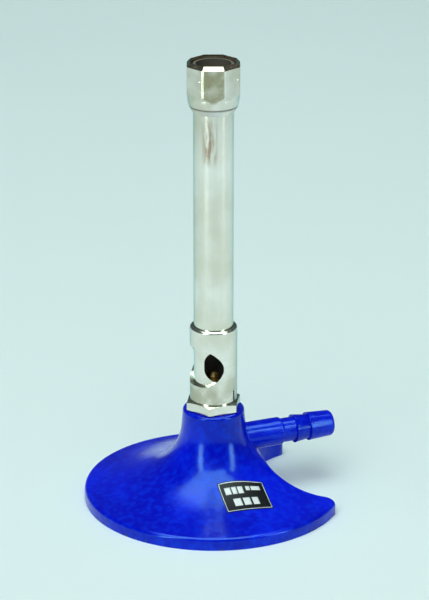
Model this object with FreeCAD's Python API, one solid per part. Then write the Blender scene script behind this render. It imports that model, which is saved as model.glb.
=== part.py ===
"""Bunsen burner: enamelled cast foot with a hose inlet, plated barrel, air collar and flame head.

Millimetres. The origin is at the middle of the foot's underside, on the barrel's axis.
+Z points up the barrel and +X points out along the gas inlet.
"""

import FreeCAD, Part
import math
import os

# ---------------------------------------------------------------- foot casting
base_radius = 45.0          # round foot, outside
rim_height = 4.2            # height of the foot at its rim
rim_edge_radius = 1.3       # rounding along the rim and the notch
foot_slope = 7.0            # degrees, slope of the foot just inside the rim
flare_slope = 26.0          # degrees, slope where the foot turns into the neck flare
flare_radius = 19.0         # concave radius between foot and neck
neck_draft = 4.3            # degrees, taper of the neck under its lip
neck_lip = 1.0              # rounding of the neck's top edge
neck_top = 33.2             # height of the neck's seat
neck_step = 2.1             # how far the neck stands outside the hexagon's flats
foot_wall = 2.7             # thickness of the hollow foot
core_floor = 9.0            # height of the hollow's flat roof under the neck
notch_inner = 15.9          # distance of the crescent notch's inner edge from the barrel's axis
notch_inset = 4.6           # the notch's centre lies this far inside the rim
notch_angle = -3.6          # degrees, direction of the notch's middle from the gas inlet
horn_radius = 3.8           # rounding of the two tips beside the notch

# ---------------------------------------------------------------- gas inlet
inlet_height = 20.1         # height of the inlet's axis
stub_radius = 4.9           # cast stub that carries the hose nozzle
stub_end = 25.4             # distance of the stub's end face from the barrel's axis
stub_edge = 0.9             # rounding of the stub's end
stub_wall = 1.5             # stub's thickness round the nozzle's shank
gallery_radius = 2.2        # gas passages in the casting
nozzle_radius = 4.25        # nozzle, plain part
nozzle_shank_length = 8.0   # plain shank that is fixed in the stub
nozzle_bore_radius = 2.0
barb_radius = 5.0           # crest of each barb
barb_start = 4.7            # from the stub's end to the first crest
barb_length = 5.3           # from crest to crest
tip_length = 9.3            # from the second crest to the nozzle's end
tip_radius = 4.5            # nozzle just before its rounded tip
tip_rounding = 1.4
fit_gap = 0.05              # clearance of pieces that are screwed or pressed together

# ---------------------------------------------------------------- jet holder, seals and jet
seal_thickness = 0.4
seal_margin = 0.4           # the large seal stays this far inside the hexagon's flats
holder_shank_radius = 4.8   # threaded end in the neck, at the thread's outside
holder_shank_length = 8.0
hex_step = 0.9              # how far the hexagon's flats stand outside the land
hex_height = 3.0
hex_chamfer = 0.45          # height of the chamfer on the hexagon's corners
land_step = 0.9             # how far the round land on the hexagon stands outside the barrel
land_height = 0.5
spigot_length = 4.6         # threaded spigot inside the barrel's foot
jet_thread_radius = 2.5
jet_thread_length = 5.0
jet_flats = 7.0
jet_hex_height = 1.9
jet_body_radius = 2.3
jet_body_height = 1.1
jet_tip_radius = 1.2
jet_tip_height = 1.5
jet_orifice = 0.45          # radius of the calibrated hole
jet_chamber = 1.4           # radius of the bore below the hole

# ---------------------------------------------------------------- barrel
barrel_radius = 6.8
barrel_length = 118.8
barrel_wall = 0.9           # thickness above the air hole
chamber_wall = 0.7          # thickness of the wider, threaded foot round the jet
chamber_height = 20.5       # from the barrel's foot to the end of the wider part
air_hole_width = 9.4
air_hole_height = 11.6
air_hole_rise = 13.6        # from the barrel's foot to the air hole's middle
air_hole_angle = -96.0      # degrees about +Z from +X
pilot_hole_radius = 0.8     # small holes that feed the pilot flames under the head
pilot_hole_drop = 8.3       # from the barrel's mouth down to the pilot holes
pilot_hole_count = 6

# ---------------------------------------------------------------- air collar
collar_height = 26.6        # from the barrel's foot to the collar's top
collar_wall = 1.27
collar_gap = 0.08           # running clearance on the barrel
collar_bottom_gap = 0.10    # clearance above the jet holder's land
collar_lip = 0.9            # rounding of the top edge
slot_cutter_radius = 6.8    # half height of the collar's air slot
slot_rise = 12.9            # from the barrel's foot to the slot's middle
slot_start = -184.7         # degrees, cutter's axis at one end of the slot
slot_end = -142.4           # degrees, cutter's axis at the other end
slit_width = 0.7            # two slits free a springy tongue at the collar's foot
slit_height = 3.8
slit_angle = -54.0
tongue_angle = 40.0         # degrees between the two slits

# ---------------------------------------------------------------- flame head and pilot ring
head_wall = 1.3             # between the flats of the mouth and the flats outside
head_height = 17.3
head_overhang = 0.9         # how far the head stands above the barrel's mouth
head_corner = 0.55          # how far the turned corners stand outside the flats
head_undercut = 1.3         # height over which the corners run down to the shoulder
head_front = -112.0         # degrees, direction of one flat's normal
shoulder_height = 5.5       # height of the rounded shoulder at the head's foot
shoulder_inset = 0.1        # how far the shoulder stays inside the flats
shoulder_bulge = 0.5        # how far the shoulder's curve stands out from a straight cone
head_foot_wall = 0.2        # wall of the head where it meets the barrel
head_grip = 3.0             # height of the ring that grips the barrel
head_bevel_height = 1.25
head_bevel_depth = 1.2
pilot_gap = 0.7             # space between the barrel and the flats of the head's bore
ring_height = 2.2           # slotted pilot ring between barrel and head
ring_drop = 3.0             # from the barrel's mouth down to the ring's top
ring_slot_width = 1.6       # one slot at each corner of the octagon
ring_slot_depth = 0.8
stake_count = 4             # punch marks that hold the ring
stake_angle = -143.0
stake_radius = 0.5
stake_depth = 0.3

# ---------------------------------------------------------------- label plate
label_width = 16.3          # along the foot's circumference
label_length = 12.2         # down the slope, seen from above
label_thickness = 0.25
label_inset = 19.9          # from the rim to the label's middle
label_angle = -86.5
label_skew = -8.0           # degrees, how crookedly it was stuck on

VERTICAL = FreeCAD.Vector(0, 0, 1)
ORIGIN = FreeCAD.Vector(0, 0, 0)
INLET = FreeCAD.Vector(1, 0, 0)
OCTAGON = 8
PICK_GAP = 0.01             # an edge counts as lying on a plane within this distance


def at(radius, height):
    """A point of a turned outline: distance from the axis, and height."""
    return FreeCAD.Vector(radius, 0, height)


def polar(radius, degrees, height=0.0):
    """A point given by its distance and direction from the barrel's axis."""
    turn = math.radians(degrees)
    return FreeCAD.Vector(radius * math.cos(turn), radius * math.sin(turn), height)


def turned(points):
    """The solid of revolution about the barrel's axis of a closed outline with straight sides."""
    outline = Part.makePolygon(points + [points[0]])
    return Part.Face(outline).revolve(ORIGIN, VERTICAL, 360)


def disc(radius, bottom, top):
    """An upright cylinder on the barrel's axis."""
    return Part.makeCylinder(radius, top - bottom, at(0, bottom), VERTICAL)


def ring(outer, inner, bottom, top):
    """An upright tube on the barrel's axis."""
    return disc(outer, bottom, top).cut(disc(inner, bottom, top))


def prism(sides, flats, bottom, top, corner_angle):
    """An upright regular prism on the barrel's axis with its first corner at the given angle."""
    corner_radius = flats / 2 / math.cos(math.pi / sides)
    corners = [polar(corner_radius, corner_angle + 360 / sides * i, bottom) for i in range(sides)]
    outline = Part.makePolygon(corners + [corners[0]])
    return Part.Face(outline).extrude(FreeCAD.Vector(0, 0, top - bottom))


def radial(radius, height, degrees, reach):
    """A horizontal cylinder from the barrel's axis outwards."""
    return Part.makeCylinder(radius, reach, at(0, height), polar(1, degrees))


def block(size_x, size_y, size_z, middle, degrees=0.0):
    """A box about its middle, turned about the barrel's axis."""
    box = Part.makeBox(size_x, size_y, size_z)
    box.translate(FreeCAD.Vector(middle.x - size_x / 2, middle.y - size_y / 2, middle.z - size_z / 2))
    box.rotate(ORIGIN, VERTICAL, degrees)
    return box


def edges_between(shape, first_kind, second_kind):
    """Edges where a surface of the first kind meets one of the second kind."""
    found = []
    for edge in shape.Edges:
        kinds = {face.Surface.TypeId for face in shape.ancestorsOfType(edge, Part.Face)}
        if kinds == {"Part::Geom" + first_kind, "Part::Geom" + second_kind}:
            found.append(edge)
    return found


# Heights that follow from the pieces stacked on the neck.
hex_bottom = neck_top + seal_thickness
hex_top = hex_bottom + hex_height
land_top = hex_top + land_height
spigot_top = land_top + spigot_length
jet_seat = spigot_top + seal_thickness
barrel_top = land_top + barrel_length
collar_top = land_top + collar_height
head_top = barrel_top + head_overhang
head_bottom = head_top - head_height
ring_bottom = barrel_top - ring_drop - ring_height

# Widths that follow from the barrel's.
chamber_bore = barrel_radius - chamber_wall
land_radius = barrel_radius + land_step
hex_flats = 2 * (land_radius + hex_step)
neck_radius = hex_flats / 2 + neck_step
mouth_flats = 2 * (barrel_radius + pilot_gap)
head_flats = mouth_flats + 2 * head_wall
head_blank_radius = head_flats / 2 + head_corner

# Lengths along the gas inlet.
nozzle_shank_radius = stub_radius - stub_wall
first_barb = stub_end + barb_start
second_barb = first_barb + barb_length
nozzle_end = second_barb + tip_length


def foot_outline(lift):
    """Closed outline of the foot and neck, raised by lift."""
    steep = math.radians(90 - neck_draft)
    flare = math.radians(flare_slope)
    rim = math.radians(foot_slope)
    mean = (flare + rim) / 2
    taper = math.tan(math.radians(neck_draft))
    shoulder = neck_top - neck_lip
    drop = flare_radius * (math.cos(flare) - math.cos(steep))
    spread = flare_radius * (math.sin(steep) - math.sin(flare))
    reach = base_radius - neck_radius - shoulder * taper - spread
    flare_top = (drop + rim_height + math.tan(mean) * reach) / (1 - math.tan(mean) * taper)
    inner = at(neck_radius + (shoulder - flare_top) * taper, flare_top)
    outer = inner + at(spread, -drop)
    centre = inner + at(flare_radius * math.sin(steep), flare_radius * math.cos(steep))
    halfway = (steep + flare) / 2
    flare_middle = centre - at(flare_radius * math.sin(halfway), flare_radius * math.cos(halfway))
    edge = at(base_radius, rim_height)
    chord = (edge - outer).Length
    sag = chord / 2 * math.tan((flare - rim) / 4)
    foot_middle = (edge + outer) / 2 - at(math.sin(mean), math.cos(mean)) * sag
    lip_corner = at(neck_radius - neck_lip, shoulder)
    lip_middle = lip_corner + at(neck_lip, neck_lip) * math.sqrt(0.5)
    neck_side = at(neck_radius, shoulder)
    seat_edge = at(neck_radius - neck_lip, neck_top)
    up = at(0, lift)
    return Part.Wire([
        Part.LineSegment(at(0, 0) + up, at(base_radius, 0) + up).toShape(),
        Part.LineSegment(at(base_radius, 0) + up, edge + up).toShape(),
        Part.Arc(edge + up, foot_middle + up, outer + up).toShape(),
        Part.Arc(outer + up, flare_middle + up, inner + up).toShape(),
        Part.LineSegment(inner + up, neck_side + up).toShape(),
        Part.Arc(neck_side + up, lip_middle + up, seat_edge + up).toShape(),
        Part.LineSegment(seat_edge + up, at(0, neck_top) + up).toShape(),
        Part.LineSegment(at(0, neck_top) + up, at(0, 0) + up).toShape(),
    ])


def foot_blank(lift=0.0):
    """The round foot and neck, solid, with no notch."""
    return Part.Face(foot_outline(lift)).revolve(ORIGIN, VERTICAL, 360)


def notch(margin=0.0):
    """The crescent cut out under the gas inlet."""
    offset = base_radius - notch_inset
    return Part.makeCylinder(offset - notch_inner + margin, neck_top, polar(offset, notch_angle))


def foot_hollow():
    """The space under the foot, which leaves an even wall all round."""
    mean = math.radians((foot_slope + flare_slope) / 2)
    under = foot_blank(-foot_wall / math.cos(mean))
    return under.common(disc(base_radius - foot_wall, 0, core_floor)).cut(notch(foot_wall))


def base_casting():
    """Enamelled foot with its neck, the stub for the hose nozzle and the gas passages."""
    foot = foot_blank().cut(notch())
    tips = [edge for edge in foot.Edges if edge.BoundBox.XLength + edge.BoundBox.YLength < PICK_GAP]
    tips = [edge for edge in tips if edge.BoundBox.XMin > neck_radius]
    foot = foot.makeFillet(horn_radius, tips)
    foot = foot.makeFillet(rim_edge_radius, edges_between(foot, "Cylinder", "Toroid"))
    foot = foot.cut(foot_hollow())
    stub = Part.makeCylinder(stub_radius, stub_end, at(0, inlet_height), INLET)
    stub = stub.makeFillet(stub_edge, [edge for edge in stub.Edges if edge.BoundBox.XMin > stub_end - PICK_GAP])
    foot = foot.fuse(stub)
    socket_depth = holder_shank_length + fit_gap - seal_thickness
    foot = foot.cut(disc(holder_shank_radius + fit_gap, neck_top - socket_depth, neck_top))
    foot = foot.cut(disc(gallery_radius, inlet_height, neck_top))
    foot = foot.cut(radial(gallery_radius, inlet_height, 0, stub_end))
    shank_room = nozzle_shank_length + fit_gap
    socket_start = FreeCAD.Vector(stub_end - shank_room, 0, inlet_height)
    return foot.cut(Part.makeCylinder(nozzle_shank_radius + fit_gap, shank_room, socket_start, INLET))


def along_inlet(points):
    """A solid turned about the gas inlet's axis, from points of (distance out, radius)."""
    corners = [FreeCAD.Vector(distance, 0, inlet_height + radius) for distance, radius in points]
    outline = Part.makePolygon(corners + [corners[0]])
    return Part.Face(outline).revolve(at(0, inlet_height), INLET, 360)


def gas_nozzle():
    """Barbed hose nozzle with a plain shank fixed in the stub."""
    shank_start = stub_end - nozzle_shank_length
    nozzle = along_inlet([
        (shank_start, 0), (shank_start, nozzle_shank_radius), (stub_end, nozzle_shank_radius),
        (stub_end, nozzle_radius), (first_barb, nozzle_radius), (first_barb, barb_radius),
        (second_barb, nozzle_radius), (second_barb, barb_radius), (nozzle_end, tip_radius), (nozzle_end, 0),
    ])
    tip = [edge for edge in nozzle.Edges if edge.BoundBox.XMin > nozzle_end - PICK_GAP]
    tip = [edge for edge in tip if edge.BoundBox.ZLength > tip_radius]
    nozzle = nozzle.makeFillet(tip_rounding, tip)
    bore_start = FreeCAD.Vector(shank_start, 0, inlet_height)
    return nozzle.cut(Part.makeCylinder(nozzle_bore_radius, nozzle_end - shank_start, bore_start, INLET))


def holder_seal():
    """Fibre washer between the neck and the hexagon."""
    return ring(hex_flats / 2 - seal_margin, holder_shank_radius + fit_gap, neck_top, hex_bottom)


def jet_holder():
    """Plated hexagon with a threaded end in the neck and a spigot for the barrel."""
    across_corners = hex_flats / math.cos(math.radians(30))
    nut = prism(6, hex_flats, hex_bottom, hex_top, 0)
    chamfer = turned([
        at(0, hex_bottom), at(across_corners / 2, hex_bottom), at(across_corners / 2, hex_top - hex_chamfer),
        at(hex_flats / 2, hex_top), at(0, hex_top),
    ])
    holder = nut.common(chamfer)
    holder = holder.fuse(disc(holder_shank_radius, hex_bottom - holder_shank_length, hex_bottom))
    holder = holder.fuse(disc(land_radius, hex_top, land_top))
    holder = holder.fuse(disc(chamber_bore - fit_gap, land_top, spigot_top))
    holder = holder.cut(disc(gallery_radius, hex_bottom - holder_shank_length, spigot_top))
    thread_room = jet_thread_length + fit_gap
    return holder.cut(disc(jet_thread_radius + fit_gap, spigot_top - thread_room, spigot_top))


def jet_seal():
    """Small fibre washer under the jet's hexagon."""
    return ring(jet_flats / 2, jet_thread_radius + fit_gap, spigot_top, jet_seat)


def gas_jet():
    """Brass injector with one calibrated hole, screwed into the jet holder."""
    hex_end = jet_seat + jet_hex_height
    body_end = hex_end + jet_body_height
    tip_end = body_end + jet_tip_height
    jet = prism(6, jet_flats, jet_seat, hex_end, 0)
    thread_start = jet_seat - jet_thread_length
    jet = jet.fuse(turned([
        at(0, thread_start), at(jet_thread_radius, thread_start), at(jet_thread_radius, jet_seat),
        at(jet_body_radius, hex_end), at(jet_body_radius, body_end), at(jet_tip_radius, tip_end),
        at(0, tip_end),
    ]))
    jet = jet.cut(disc(jet_chamber, thread_start, body_end))
    return jet.cut(disc(jet_orifice, thread_start, tip_end))


def upright_slot(width, height, middle, degrees, reach):
    """A radial cutter with rounded ends, taller than it is wide."""
    half = height / 2 - width / 2
    cutter = block(reach, width, 2 * half, at(reach / 2, middle), degrees)
    cutter = cutter.fuse(radial(width / 2, middle - half, degrees, reach))
    return cutter.fuse(radial(width / 2, middle + half, degrees, reach))


def barrel():
    """Plated burner tube with one air hole and a row of pilot holes."""
    tube = ring(barrel_radius, barrel_radius - barrel_wall, land_top, barrel_top)
    tube = tube.cut(disc(chamber_bore, land_top, land_top + chamber_height))
    reach = 2 * barrel_radius
    hole_middle = land_top + air_hole_rise
    tube = tube.cut(upright_slot(air_hole_width, air_hole_height, hole_middle, air_hole_angle, reach))
    for i in range(pilot_hole_count):
        direction = 360 / pilot_hole_count * i
        tube = tube.cut(radial(pilot_hole_radius, barrel_top - pilot_hole_drop, direction, reach))
    return tube


def air_collar():
    """Plated sleeve that turns on the barrel, with one long slot over the air hole."""
    bottom = land_top + collar_bottom_gap
    outside = barrel_radius + collar_gap + collar_wall
    blank = disc(outside, bottom, collar_top)
    top_edge = [edge for edge in blank.Edges if edge.BoundBox.ZMin > collar_top - PICK_GAP]
    blank = blank.makeFillet(collar_lip, top_edge)
    sleeve = blank.cut(disc(barrel_radius + collar_gap, bottom, collar_top))
    reach = 2 * outside
    slot_middle = land_top + slot_rise
    slot_foot = at(0, slot_middle - slot_cutter_radius)
    sector = Part.makeCylinder(reach, 2 * slot_cutter_radius, slot_foot, VERTICAL, slot_end - slot_start)
    sector.rotate(ORIGIN, VERTICAL, slot_start)
    sleeve = sleeve.cut(sector)
    for degrees in (slot_start, slot_end):
        sleeve = sleeve.cut(radial(slot_cutter_radius, slot_middle, degrees, reach))
    for degrees in (slit_angle, slit_angle + tongue_angle):
        middle = at(reach / 2, bottom + slit_height / 2)
        sleeve = sleeve.cut(block(reach, slit_width, slit_height, middle, degrees))
    return sleeve


def flame_head():
    """Octagonal cap that grips the barrel below and leaves a pilot gap round its mouth."""
    corner = head_front + 180 / OCTAGON
    grip_radius = barrel_radius + fit_gap
    foot = at(barrel_radius + head_foot_wall, head_bottom)
    shoulder = at(head_flats / 2 - shoulder_inset, head_bottom + shoulder_height)
    shoulder_middle = (foot + shoulder) / 2 + at(shoulder_bulge, 0)
    corner_foot = at(head_blank_radius, head_bottom + shoulder_height + head_undercut)
    top = at(head_blank_radius, head_top)
    blank = Part.Face(Part.Wire([
        Part.LineSegment(at(0, head_bottom), foot).toShape(),
        Part.Arc(foot, shoulder_middle, shoulder).toShape(),
        Part.LineSegment(shoulder, corner_foot).toShape(),
        Part.LineSegment(corner_foot, top).toShape(),
        Part.LineSegment(top, at(0, head_top)).toShape(),
        Part.LineSegment(at(0, head_top), at(0, head_bottom)).toShape(),
    ])).revolve(ORIGIN, VERTICAL, 360)
    head = blank.common(prism(OCTAGON, head_flats, head_bottom, head_top, corner))
    head = head.common(bevelled_octagon(corner))
    head = head.cut(disc(grip_radius, head_bottom, head_top))
    head = head.cut(prism(OCTAGON, mouth_flats, head_bottom + head_grip, head_top, corner))
    for i in range(stake_count):
        degrees = stake_angle + 360 / stake_count * i
        off_normal = math.radians((degrees - head_front + 180 / OCTAGON) % (360 / OCTAGON) - 180 / OCTAGON)
        surface = head_flats / 2 / math.cos(off_normal)
        centre = polar(surface + stake_radius - stake_depth, degrees, ring_bottom + ring_height / 2)
        head = head.cut(Part.makeSphere(stake_radius, centre))
    return head


def bevelled_octagon(corner):
    """Octagonal bar whose top edge is bevelled on every flat."""
    low = prism(OCTAGON, head_flats, head_bottom, head_top - head_bevel_height, corner)
    lower = low_outline(head_flats, head_top - head_bevel_height, corner)
    upper = low_outline(head_flats - 2 * head_bevel_depth, head_top, corner)
    return low.fuse(Part.makeLoft([lower, upper], True, True)).removeSplitter()


def low_outline(flats, height, corner):
    """Closed octagonal wire at one height."""
    corner_radius = flats / 2 / math.cos(math.pi / OCTAGON)
    corners = [polar(corner_radius, corner + 360 / OCTAGON * i, height) for i in range(OCTAGON)]
    return Part.makePolygon(corners + [corners[0]])


def pilot_ring():
    """Slotted ring staked between the barrel and the head, which feeds the pilot flames."""
    corner = head_front + 180 / OCTAGON
    top = ring_bottom + ring_height
    shape = prism(OCTAGON, mouth_flats - 2 * fit_gap, ring_bottom, top, corner)
    shape = shape.cut(disc(barrel_radius + fit_gap, ring_bottom, top))
    reach = barrel_radius + ring_slot_depth
    for i in range(OCTAGON):
        middle = at(reach / 2, (ring_bottom + top) / 2)
        shape = shape.cut(block(reach, ring_slot_width, 2 * ring_height, middle, corner + 360 / OCTAGON * i))
    return shape


def label_plate():
    """Thin adhesive label that follows the curve of the foot."""
    skin = foot_blank(label_thickness).cut(foot_blank())
    window = block(label_length, label_width, 4 * base_radius, ORIGIN, label_skew)
    window.translate(at(base_radius - label_inset, 0))
    window.rotate(ORIGIN, VERTICAL, label_angle)
    return skin.common(window)


PIECES = {
    "base_casting": base_casting,
    "gas_nozzle": gas_nozzle,
    "holder_seal": holder_seal,
    "jet_holder": jet_holder,
    "jet_seal": jet_seal,
    "gas_jet": gas_jet,
    "barrel": barrel,
    "air_collar": air_collar,
    "pilot_ring": pilot_ring,
    "flame_head": flame_head,
    "label_plate": label_plate,
}

os.makedirs("parts", exist_ok=True)
for name, make in PIECES.items():
    shape = make()
    print(name, shape.isValid(), len(shape.Solids), round(shape.Volume, 1))
    shape.exportStep("parts/" + name + ".step")
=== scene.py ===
import math

import bpy
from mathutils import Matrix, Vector
from mathutils.bvhtree import BVHTree


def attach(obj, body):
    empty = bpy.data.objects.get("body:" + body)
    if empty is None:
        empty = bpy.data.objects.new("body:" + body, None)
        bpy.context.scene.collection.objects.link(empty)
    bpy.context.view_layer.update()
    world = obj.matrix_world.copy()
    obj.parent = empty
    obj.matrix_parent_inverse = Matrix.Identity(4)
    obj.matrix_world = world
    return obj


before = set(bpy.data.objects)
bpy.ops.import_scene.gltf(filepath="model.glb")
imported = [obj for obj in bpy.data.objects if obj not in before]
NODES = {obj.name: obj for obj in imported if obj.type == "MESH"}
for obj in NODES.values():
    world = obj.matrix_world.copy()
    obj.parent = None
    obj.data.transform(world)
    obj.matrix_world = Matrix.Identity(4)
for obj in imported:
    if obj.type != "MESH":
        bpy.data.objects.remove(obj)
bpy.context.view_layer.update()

SCENE = bpy.context.scene
MM = 0.001


# ---------------------------------------------------------------- camera, floor and lights
AZIMUTH = -22                    # degrees; the camera stands this far round from looking along +Y
ELEVATION = math.radians(20.74)
AIM_HEIGHT = 72.6 * MM           # point on the barrel's axis that the camera looks at
DISTANCE = 885 * MM
SIDE_SHIFT = 0.34 * MM           # the camera's whole line moves this far to the right
FRAME_HEIGHT = 600
FOCAL_PIXELS = 2600              # focal length, in pixels
SENSOR_WIDTH = 36                # millimetres
CLIP_START = 0.01
CLIP_END = 20
STRIP_FOOT = 45 * MM             # the strip lights start this high above the floor
STRIP_DISTANCE = 0.46
STRIP_HEIGHT = 0.56
SURROUND = (0.72, 0.9, 0.9, 1)
SURROUND_STRENGTH = 0.10
PALE_CYAN = (0.80, 1.0, 0.98)
STRIP_WHITE = (0.85, 1.0, 1.0)
WHITE = (1.0, 1.0, 1.0)


def direction(azimuth, elevation=0.0):
    """Unit vector from the object towards a place round it, angles in radians; 0 looks along +Y."""
    flat = math.cos(elevation)
    return Vector((math.sin(azimuth) * flat, -math.cos(azimuth) * flat, math.sin(elevation)))


def camera():
    """The camera, looking down on the burner from its front left."""
    data = bpy.data.cameras.new("camera")
    data.sensor_width = SENSOR_WIDTH
    data.lens = FOCAL_PIXELS / FRAME_HEIGHT * data.sensor_width
    obj = bpy.data.objects.new("camera", data)
    SCENE.collection.objects.link(obj)
    turn = math.radians(AZIMUTH)
    back = direction(turn, ELEVATION)
    right = Vector((math.cos(turn), math.sin(turn), 0))
    obj.location = Vector((0, 0, AIM_HEIGHT)) + right * SIDE_SHIFT + back * DISTANCE
    obj.rotation_mode = "QUATERNION"
    obj.rotation_quaternion = (-back).to_track_quat("-Z", "Y")
    data.clip_start = CLIP_START
    data.clip_end = CLIP_END
    SCENE.camera = obj


def area_light(name, place, aim, size, radiance, colour, mirrored):
    """A soft box the camera doesn't see: mirrored, it shows only in reflections, else it only lights."""
    data = bpy.data.lights.new(name, "AREA")
    data.shape = "RECTANGLE"
    data.size, data.size_y = size
    data.energy = radiance * math.pi * size[0] * size[1]
    data.color = colour
    obj = bpy.data.objects.new(name, data)
    obj.location = place
    obj.rotation_mode = "QUATERNION"
    obj.rotation_quaternion = (Vector(aim) - Vector(place)).to_track_quat("-Z", "Y")
    obj.visible_camera = False
    obj.visible_glossy = mirrored
    obj.visible_diffuse = not mirrored
    SCENE.collection.objects.link(obj)


def daylight(offset, elevation, spread, strength, colour):
    """An even light over the whole floor, with soft shadows and no reflection; angles in degrees."""
    data = bpy.data.lights.new("daylight", "SUN")
    data.energy = strength
    data.angle = math.radians(spread)
    data.color = colour
    obj = bpy.data.objects.new("daylight", data)
    source = direction(math.radians(AZIMUTH + offset), math.radians(elevation))
    obj.rotation_mode = "QUATERNION"
    obj.rotation_quaternion = (-source).to_track_quat("-Z", "Y")
    obj.visible_glossy = False
    SCENE.collection.objects.link(obj)


def upright_strip(name, offset, width, radiance):
    """A tall narrow reflected light, offset in degrees from the camera's side."""
    place = direction(math.radians(AZIMUTH + offset)) * STRIP_DISTANCE
    place.z = STRIP_HEIGHT / 2 + STRIP_FOOT
    area_light(name, place, (0, 0, place.z), (width, STRIP_HEIGHT), radiance, STRIP_WHITE, mirrored=True)


def studio():
    """Soft lights for the floor and body, others that only show as highlights, and a dim surround."""
    middle = (0, 0, 0)
    top = direction(math.radians(AZIMUTH - 6), math.radians(84))
    area_light("overhead", top * 1.0, middle, (0.6, 0.8), 1.5, PALE_CYAN, mirrored=False)
    fill = direction(math.radians(AZIMUTH - 12), math.radians(42))
    area_light("fill", fill * 2.6, (0, 0.3, 0), (2.6, 1.2), 1.2, WHITE, mirrored=False)
    daylight(offset=-30, elevation=68, spread=60, strength=1.9, colour=PALE_CYAN)
    area_light("ceiling_shine", top * 0.9, middle, (0.82, 0.95), 5.0, PALE_CYAN, mirrored=True)
    upright_strip("strip_left", offset=-40, width=0.085, radiance=10.0)
    upright_strip("strip_right", offset=58, width=0.090, radiance=8.0)
    world = bpy.data.worlds.new("studio")
    world.use_nodes = True
    background = world.node_tree.nodes["Background"].inputs
    background["Color"].default_value = SURROUND
    background["Strength"].default_value = SURROUND_STRENGTH
    SCENE.world = world
    SCENE.view_settings.view_transform = "Standard"


# ---------------------------------------------------------------- node recipes
class Recipe:
    """A material's node tree, built from the object's own coordinates in metres."""

    def __init__(self, name, **finish):
        self.material = bpy.data.materials.new(name)
        self.material.use_nodes = True
        self.tree = self.material.node_tree
        self.shader = self.tree.nodes["Principled BSDF"]
        self.place = self.add("ShaderNodeTexCoord").outputs["Object"]
        parts = self.add("ShaderNodeSeparateXYZ", {"Vector": self.place}).outputs
        self.x, self.y, self.z = parts[0], parts[1], parts[2]
        self.radius = self.hypot(self.x, self.y)
        for socket, value in finish.items():
            self.shader.inputs[socket.replace("_", " ")].default_value = value

    def add(self, kind, inputs=None, **settings):
        """A node with its settings, and each input either linked or set."""
        node = self.tree.nodes.new(kind)
        for key, value in settings.items():
            setattr(node, key, value)
        for key, value in (inputs or {}).items():
            if isinstance(value, bpy.types.NodeSocket):
                self.tree.links.new(value, node.inputs[key])
            else:
                node.inputs[key].default_value = value
        return node

    def math(self, operation, first, second=0.0):
        return self.add("ShaderNodeMath", {0: first, 1: second}, operation=operation).outputs[0]

    def times(self, first, second):
        return self.math("MULTIPLY", first, second)

    def hypot(self, first, second):
        return self.math("SQRT", self.math("ADD", self.times(first, first), self.times(second, second)))

    def vector(self, operation, vector, amount=(0, 0, 0)):
        """The outputs of a vector operation; amount is unused where it takes one vector."""
        return self.add("ShaderNodeVectorMath", {0: vector, 1: amount}, operation=operation).outputs

    def stretched(self, across, along):
        """Coordinates scaled differently across and along the barrel's axis."""
        return self.vector("MULTIPLY", self.place, (across, across, along))["Vector"]

    def noise(self, scale, detail=4.0, place=None):
        inputs = {"Vector": place or self.place, "Scale": scale, "Detail": detail}
        return self.add("ShaderNodeTexNoise", inputs).outputs["Fac"]

    def span(self, value, low, high):
        """0 at low, 1 at high, smooth between; low may be the larger."""
        inputs = {"Value": value, "From Min": low, "From Max": high}
        return self.add("ShaderNodeMapRange", inputs, interpolation_type="SMOOTHSTEP").outputs["Result"]

    def between(self, value, low, high, blur):
        """1 from low to high, fading over blur outside."""
        return self.times(self.span(value, low - blur, low), self.span(value, high + blur, high))

    def mix(self, factor, first, second):
        """A colour between two, each a socket or (red, green, blue)."""
        node = self.tree.nodes.new("ShaderNodeMix")
        node.data_type = "RGBA"
        for socket, value in ((node.inputs[0], factor), (node.inputs[6], first), (node.inputs[7], second)):
            if isinstance(value, bpy.types.NodeSocket):
                self.tree.links.new(value, socket)
            else:
                socket.default_value = value if isinstance(value, float) else (*value, 1)
        return node.outputs[2]

    def scale(self, value, low, high):
        """A value of 0 to 1 spread from low to high."""
        return self.math("ADD", self.times(value, high - low), low)

    def set(self, socket, value):
        self.tree.links.new(value, self.shader.inputs[socket])

    def bump(self, *layers):
        """Stacked bumps, each (height, depth in metres, strength)."""
        normal = None
        for height, depth, strength in layers:
            inputs = {"Height": height, "Distance": depth, "Strength": strength}
            if normal:
                inputs["Normal"] = normal
            normal = self.add("ShaderNodeBump", inputs).outputs["Normal"]
        self.set("Normal", normal)


# ---------------------------------------------------------------- finishes
DEEP_BLUE = (0.0, 0.002, 0.52)
ROYAL_BLUE = (0.0, 0.008, 0.78)
MOTTLE_BLUE = (0.0, 0.05, 1.0)
NIB_BLUE = (0.03, 0.12, 0.95)
DARK_IRON = (0.02, 0.018, 0.02)
PALE_NICKEL = (0.96, 0.92, 0.86)
WARM_NICKEL = (0.74, 0.69, 0.56)
PIT_BROWN = (0.16, 0.13, 0.08)
OLIVE = (0.34, 0.30, 0.17)
# near-black for the insides of the barrel and the head: soot, and painted shade in these recesses
SOOT_AND_SHADE = (0.035, 0.016, 0.01)
HEAT_BROWN = (0.30, 0.14, 0.05)
GLOSS_BLACK = (0.002, 0.002, 0.003)
SCUFF_GREY = (0.02, 0.02, 0.022)
# cyan tint painted onto the enamel's reflections and highlights
ENAMEL_SHINE = (0.35, 0.85, 1.0, 1)
# teal tint painted onto the nickel's edge reflections
NICKEL_EDGE_REFLECTION_TINT = (0.50, 0.72, 0.72, 1)

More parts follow.
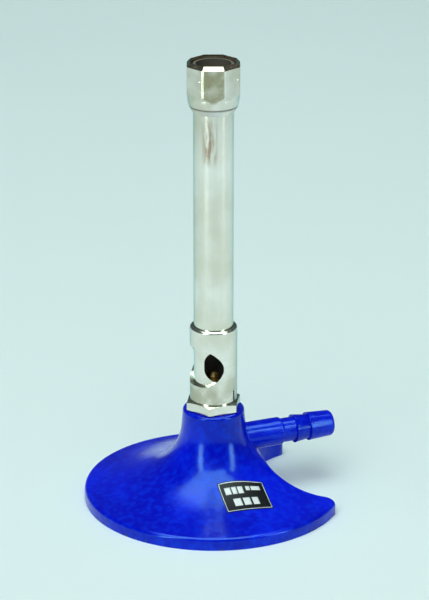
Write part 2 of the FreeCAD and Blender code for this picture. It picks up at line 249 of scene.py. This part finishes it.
NECK_TOP = 33.1 * MM             # heights above the floor
NECK_LIP = 9.9 * MM              # radius of the neck's rim
NOZZLE_HEIGHT = 20.1 * MM
BARB_CREST = 4.98 * MM           # radius of the nozzle where a hose rubs it
BORE_EDGE = 6.2 * MM             # radius within which the barrel's bore is painted near-black, partly soot and partly painted shade
HEAD_BORE = 8.15 * MM            # radius within which the head's mouth is painted near-black, partly soot and partly painted shade
HEAD_FOOT = 140 * MM
MOUTH_FLOOR = 141 * MM
TOP = 156.8 * MM
STREAK_MIDDLE = (-3.7 * MM, -5.7 * MM, 0)
SHADED_FLAT_FACING = (-0.375, -0.927, 0)  # the way the head's flat with painted shade faces, the camera's direction
FLAT_DISTANCE = 8.7 * MM


def enamel(name, chips):
    """Glossy stove enamel: orange peel, drifts of colour, dust nibs, and chips where chips is 1."""
    # the specular tint paints the enamel's reflections cyan
    look = Recipe(name, Coat_Weight=0.04, Coat_Roughness=0.2, Specular_IOR_Level=0.40,
                  Specular_Tint=ENAMEL_SHINE)
    drift = look.span(look.noise(38, 3), 0.35, 0.68)
    nibs = look.span(look.noise(900, 2), 0.70, 0.76)
    mottle = look.span(look.noise(420, 3), 0.40, 0.70)
    colour = look.mix(drift, DEEP_BLUE, ROYAL_BLUE)
    colour = look.mix(look.times(mottle, 0.30), colour, MOTTLE_BLUE)
    colour = look.mix(look.times(nibs, 0.22), colour, NIB_BLUE)
    flakes = look.times(look.span(look.noise(700, 5), 0.60, 0.63), chips(look))
    colour = look.mix(flakes, colour, DARK_IRON)
    look.set("Base Color", colour)
    smudge = look.scale(look.noise(75, 6), 0.06, 0.30)
    look.set("Roughness", look.math("ADD", smudge, look.times(flakes, 0.4)))
    look.bump((look.noise(300, 2), 0.00012, 0.22), (nibs, 0.00006, 0.35), (flakes, -0.0001, 0.6))
    return look.material


def foot_chips(look):
    """Chips along the foot's lower edge and the neck's lip."""
    ground = look.span(look.z, 1.4 * MM, 0.2 * MM)
    high = look.span(look.z, NECK_TOP - 0.5 * MM, NECK_TOP)
    outer = look.span(look.radius, NECK_LIP - 0.5 * MM, NECK_LIP)
    return look.math("MAXIMUM", ground, look.times(look.times(high, outer), 0.8))


def nozzle_chips(look):
    """Wear on the crests of the barbs, where a hose has been pushed on and pulled off."""
    reach = look.hypot(look.y, look.math("SUBTRACT", look.z, NOZZLE_HEIGHT))
    return look.times(look.span(reach, BARB_CREST - 0.13 * MM, BARB_CREST), 0.75)


def nickel(name, smooth, dull, grain, extra=None):
    """Worn nickel plate: tarnish in drifts, polishing grain, small pits and handling marks."""
    # the specular tint paints a teal reflection onto the nickel's edges
    look = Recipe(name, Metallic=1.0, Specular_IOR_Level=0.12, Specular_Tint=NICKEL_EDGE_REFLECTION_TINT)
    drift = look.span(look.noise(55, 5), 0.36, 0.66)
    lines = look.noise(1.0, 3, look.stretched(*grain))
    pits = look.span(look.noise(1500, 2), 0.70, 0.76)
    colour = look.mix(look.times(drift, 0.75), PALE_NICKEL, WARM_NICKEL)
    colour = look.mix(look.times(look.span(lines, 0.45, 0.75), 0.25), colour, WARM_NICKEL)
    colour = look.mix(look.times(pits, 0.5), colour, PIT_BROWN)
    rough = look.scale(look.times(look.math("ADD", drift, lines), 0.5), smooth, dull)
    if extra:
        colour, rough = extra(look, colour, rough)
    look.set("Base Color", colour)
    look.set("Roughness", rough)
    look.bump((lines, 0.00002, 0.25), (pits, -0.00005, 0.5))
    return look.material


def tube_stains(look, colour, rough):
    """Heat stain below the head, a brown streak on one side, and a bore painted near-black: soot, and
    painted shade in the recess.
    """
    offset = look.vector("SUBTRACT", look.place, STREAK_MIDDLE)["Vector"]
    offset = look.vector("MULTIPLY", offset, (1, 1, 0))["Vector"]
    side = look.span(look.vector("LENGTH", offset)["Value"], 3.4 * MM, 0.8 * MM)
    height = look.between(look.z, 127 * MM, 134 * MM, 6 * MM)
    ragged = look.span(look.noise(1.0, 5, look.stretched(900, 160)), 0.35, 0.62)
    streak = look.times(look.times(side, height), ragged)
    colour = look.mix(look.times(streak, 0.75), colour, HEAT_BROWN)
    band = look.times(look.span(look.z, 122 * MM, 143 * MM), 0.22)
    colour = look.mix(band, colour, OLIVE)
    # the whole bore is painted near-black and not metallic: soot, and painted shade down the recess
    bore = look.span(look.radius, BORE_EDGE + 0.3 * MM, BORE_EDGE)
    inside = look.math("MAXIMUM", bore, look.span(look.z, 155 * MM, 155.6 * MM))
    colour = look.mix(look.times(inside, 0.85), colour, SOOT_AND_SHADE)
    look.set("Metallic", look.scale(inside, 1.0, 0.0))
    return colour, look.math("ADD", rough, look.times(inside, 0.35))


def collar_stains(look, colour, rough):
    """Khaki tarnish at the foot of the collar, where fingers turn it."""
    low = look.span(look.z, 50 * MM, 39 * MM)
    foot = look.times(low, look.span(look.noise(160, 4), 0.30, 0.62))
    return look.mix(look.times(foot, 0.55), colour, OLIVE), look.math("ADD", rough, look.times(foot, 0.08))


def head_stains(look, colour, rough):
    """Painted shade in olive on the flat facing the camera, straw drifts, a brown rim, and a mouth painted
    near-black: soot and painted shade.
    """
    facing = look.vector("DOT_PRODUCT", look.place, SHADED_FLAT_FACING)["Value"]
    # painted shade: the flat that faces the camera is made olive and darker
    front = look.times(look.span(facing, FLAT_DISTANCE - 0.15 * MM, FLAT_DISTANCE),
                       look.between(look.z, 145 * MM, 155 * MM, 1.0 * MM))
    cloud = look.span(look.noise(210, 5), 0.30, 0.62)
    colour = look.mix(look.times(cloud, 0.25), colour, OLIVE)
    colour = look.mix(look.times(front, look.scale(cloud, 0.45, 0.85)), colour, OLIVE)
    # the mouth is painted near-black and not metallic: soot, and painted shade in the recess
    inside = look.times(look.span(look.radius, HEAD_BORE + 0.2 * MM, HEAD_BORE),
                        look.span(look.z, MOUTH_FLOOR, MOUTH_FLOOR + 1 * MM))
    inside = look.times(inside, look.span(look.z, TOP - 0.5 * MM, TOP - 1.2 * MM))
    rim = look.times(look.span(look.z, TOP - 1.5 * MM, TOP - 1.1 * MM), 0.6)
    colour = look.mix(rim, colour, HEAT_BROWN)
    colour = look.mix(look.times(inside, 0.9), colour, SOOT_AND_SHADE)
    look.set("Metallic", look.scale(inside, 1.0, 0.0))
    dulled = look.math("MAXIMUM", inside, look.span(look.z, HEAD_FOOT + 2 * MM, HEAD_FOOT))
    return colour, look.math("ADD", rough, look.times(dulled, 0.35))


def brass(name, fresh, dark, amount):
    """Turned brass with dull brown drifts and fine turning lines."""
    look = Recipe(name, Metallic=1.0)
    drift = look.span(look.noise(240, 5), 0.5 - amount / 2, 0.85 - amount / 2)
    lines = look.noise(1.0, 2, look.stretched(40, 4200))
    look.set("Base Color", look.mix(drift, fresh, dark))
    look.set("Roughness", look.scale(look.times(look.math("ADD", drift, lines), 0.5), 0.22, 0.5))
    look.bump((lines, 0.00002, 0.4))
    return look.material


def fibre():
    """Pressed red fibre sheet."""
    look = Recipe("red_fibre")
    flecks = look.noise(1600, 6)
    look.set("Base Color", look.mix(look.span(flecks, 0.35, 0.7), (0.24, 0.03, 0.015), (0.42, 0.10, 0.06)))
    look.set("Roughness", look.scale(flecks, 0.55, 0.85))
    look.bump((flecks, 0.00004, 0.6))
    return look.material


def print_black():
    """Gloss black label face with fine scuffs."""
    look = Recipe("label_black", Specular_IOR_Level=0.18)
    scuffs = look.span(look.noise(1.0, 4, look.stretched(900, 120)), 0.58, 0.72)
    look.set("Base Color", look.mix(look.times(scuffs, 0.35), GLOSS_BLACK, SCUFF_GREY))
    look.set("Roughness", look.scale(look.noise(260, 5), 0.22, 0.46))
    look.bump((look.noise(800, 3), 0.00003, 0.3))
    return look.material


def print_ink(name, colour, worn, metallic):
    """Printed ink or foil, thin in places."""
    look = Recipe(name, Metallic=metallic)
    thin = look.span(look.noise(1300, 5), 0.52, 0.75)
    look.set("Base Color", look.mix(look.times(thin, 0.5), colour, worn))
    look.set("Roughness", look.scale(thin, 0.30, 0.55))
    look.bump((thin, 0.00002, 0.4))
    return look.material


FLOOR_REACH = 3.0                # half the floor's side
FLOOR_TONES = ((0.80, 0.86, 0.86), (0.84, 0.88, 0.88))


def floor():
    """Plain pale floor."""
    mesh = bpy.data.meshes.new("floor")
    reach = FLOOR_REACH
    corners = [(-reach, -reach, 0), (reach, -reach, 0), (reach, reach, 0), (-reach, reach, 0)]
    mesh.from_pydata(corners, [], [(0, 1, 2, 3)])
    obj = bpy.data.objects.new("floor", mesh)
    SCENE.collection.objects.link(obj)
    look = Recipe("floor_paper", Roughness=0.9)
    look.set("Base Color", look.mix(look.noise(6, 3), *FLOOR_TONES))
    look.bump((look.noise(900, 3), 0.00004, 0.2))
    mesh.materials.append(look.material)


TUBE_GRAIN = (700, 14)           # noise scale across and along the barrel's axis
SLEEVE_GRAIN = (60, 1800)
CAP_GRAIN = (120, 900)
EVEN_GRAIN = (300, 300)

FINISHES = {
    "base_casting": enamel("blue_enamel_cast", foot_chips),
    "gas_nozzle": enamel("blue_enamel_nozzle", nozzle_chips),
    "holder_seal": fibre(),
    "jet_seal": fibre(),
    "jet_holder": nickel("nickel_holder_plate", 0.12, 0.30, EVEN_GRAIN),
    "gas_jet": brass("jet_brass_turned", (0.80, 0.55, 0.22), (0.42, 0.25, 0.09), 0.35),
    "barrel": nickel("nickel_tube", 0.10, 0.26, TUBE_GRAIN, tube_stains),
    "air_collar": nickel("nickel_sleeve", 0.10, 0.28, SLEEVE_GRAIN, collar_stains),
    "pilot_ring": brass("ring_brass_burnt", (0.40, 0.25, 0.12), (0.10, 0.05, 0.03), 0.7),
    "flame_head": nickel("nickel_cap", 0.12, 0.30, CAP_GRAIN, head_stains),
    "label_plate": print_black(),
}


def finish_nodes():
    """Gives every CAD node its material."""
    for name, material in FINISHES.items():
        for slot in NODES[name].material_slots:
            slot.material = material


# ---------------------------------------------------------------- print on the label
LABEL_WIDTH = 16.3 * MM
LABEL_LENGTH = 12.2 * MM
LABEL_RADIUS = 25.1 * MM         # from the barrel's axis to the label's middle
LABEL_ANGLE = math.radians(-86.5)
LABEL_SKEW = math.radians(-8)
INK_HEIGHT = 0.03 * MM           # print stands this far off the label
INK_STEP = 0.4 * MM              # grid of the printed pieces, so that they follow the curve
ABOVE_LABEL = 50 * MM            # height from which points are dropped onto the label
BORDER_LINE = 0.22 * MM
BORDER_INSET = 0.25 * MM
BARS_MM = (                      # left, right, top, bottom, from the label's middle
    (-6.4, -4.3, -4.0, -1.2), (-3.9, -2.2, -4.0, -1.2), (-1.8, 0.1, -4.0, -1.2),
    (1.1, 2.6, -4.0, -2.3), (3.0, 6.2, -4.0, -2.3),
    (-4.6, -1.9, 0.7, 3.9), (-1.2, 1.3, 0.7, 3.9), (2.0, 4.2, 0.7, 3.9),
)


def turned(vector, angle):
    """A vector turned about +Z."""
    cosine, sine = math.cos(angle), math.sin(angle)
    return Vector((vector.x * cosine - vector.y * sine, vector.x * sine + vector.y * cosine, vector.z))


def label_point(across, down):
    """Plan position of a point of the label, from its middle: across to the right, down the slope."""
    flat = turned(Vector((down, across, 0)), LABEL_SKEW)
    return turned(flat + Vector((LABEL_RADIUS, 0, 0)), LABEL_ANGLE)


def patch_grid(surface, left, right, top, bottom):
    """Points just above the label in rows over one patch, and the number of columns."""
    columns = max(2, round((right - left) / INK_STEP)) + 1
    rows = max(2, round((bottom - top) / INK_STEP)) + 1
    points = []
    for row in range(rows):
        for column in range(columns):
            across = left + (right - left) * column / (columns - 1)
            down = top + (bottom - top) * row / (rows - 1)
            plan = label_point(across, down)
            start = Vector((plan.x, plan.y, ABOVE_LABEL))
            hit, normal = surface.ray_cast(start, Vector((0, 0, -1)))[:2]
            points.append(hit + normal * INK_HEIGHT)
    return points, columns


def printed(name, patches, material):
    """Thin raised print on the label: each patch is (left, right, top, bottom) from its middle."""
    label = NODES["label_plate"].data
    surface = BVHTree.FromPolygons([vertex.co.copy() for vertex in label.vertices],
                                   [tuple(face.vertices) for face in label.polygons])
    points, faces = [], []
    for patch in patches:
        first = len(points)
        grid, columns = patch_grid(surface, *patch)
        points += grid
        for row in range(len(grid) // columns - 1):
            for column in range(columns - 1):
                corner = first + row * columns + column
                faces.append((corner, corner + columns, corner + columns + 1, corner + 1))
    mesh = bpy.data.meshes.new(name)
    mesh.from_pydata(points, [], faces)
    mesh.materials.append(material)
    obj = bpy.data.objects.new(name, mesh)
    SCENE.collection.objects.link(obj)
    solid = obj.modifiers.new("ink", "SOLIDIFY")
    solid.thickness = INK_HEIGHT
    solid.offset = -1
    for face in mesh.polygons:
        face.use_smooth = True
    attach(obj, "burner")


def label_print():
    """A thin silver border, and plain bars."""
    right = LABEL_WIDTH / 2 - BORDER_INSET
    bottom = LABEL_LENGTH / 2 - BORDER_INSET
    left, top, line = -right, -bottom, BORDER_LINE
    border = [
        (left, right, top, top + line), (left, right, bottom - line, bottom),
        (left, left + line, top + line, bottom - line), (right - line, right, top + line, bottom - line),
    ]
    printed("label_border", border, print_ink("label_silver", (0.72, 0.73, 0.75), (0.2, 0.2, 0.2), 0.8))
    bars = [tuple(edge * MM for edge in bar) for bar in BARS_MM]
    printed("label_bars", bars, print_ink("label_white", (0.82, 0.82, 0.80), (0.45, 0.45, 0.45), 0.0))


camera()
studio()
floor()
finish_nodes()
label_print()
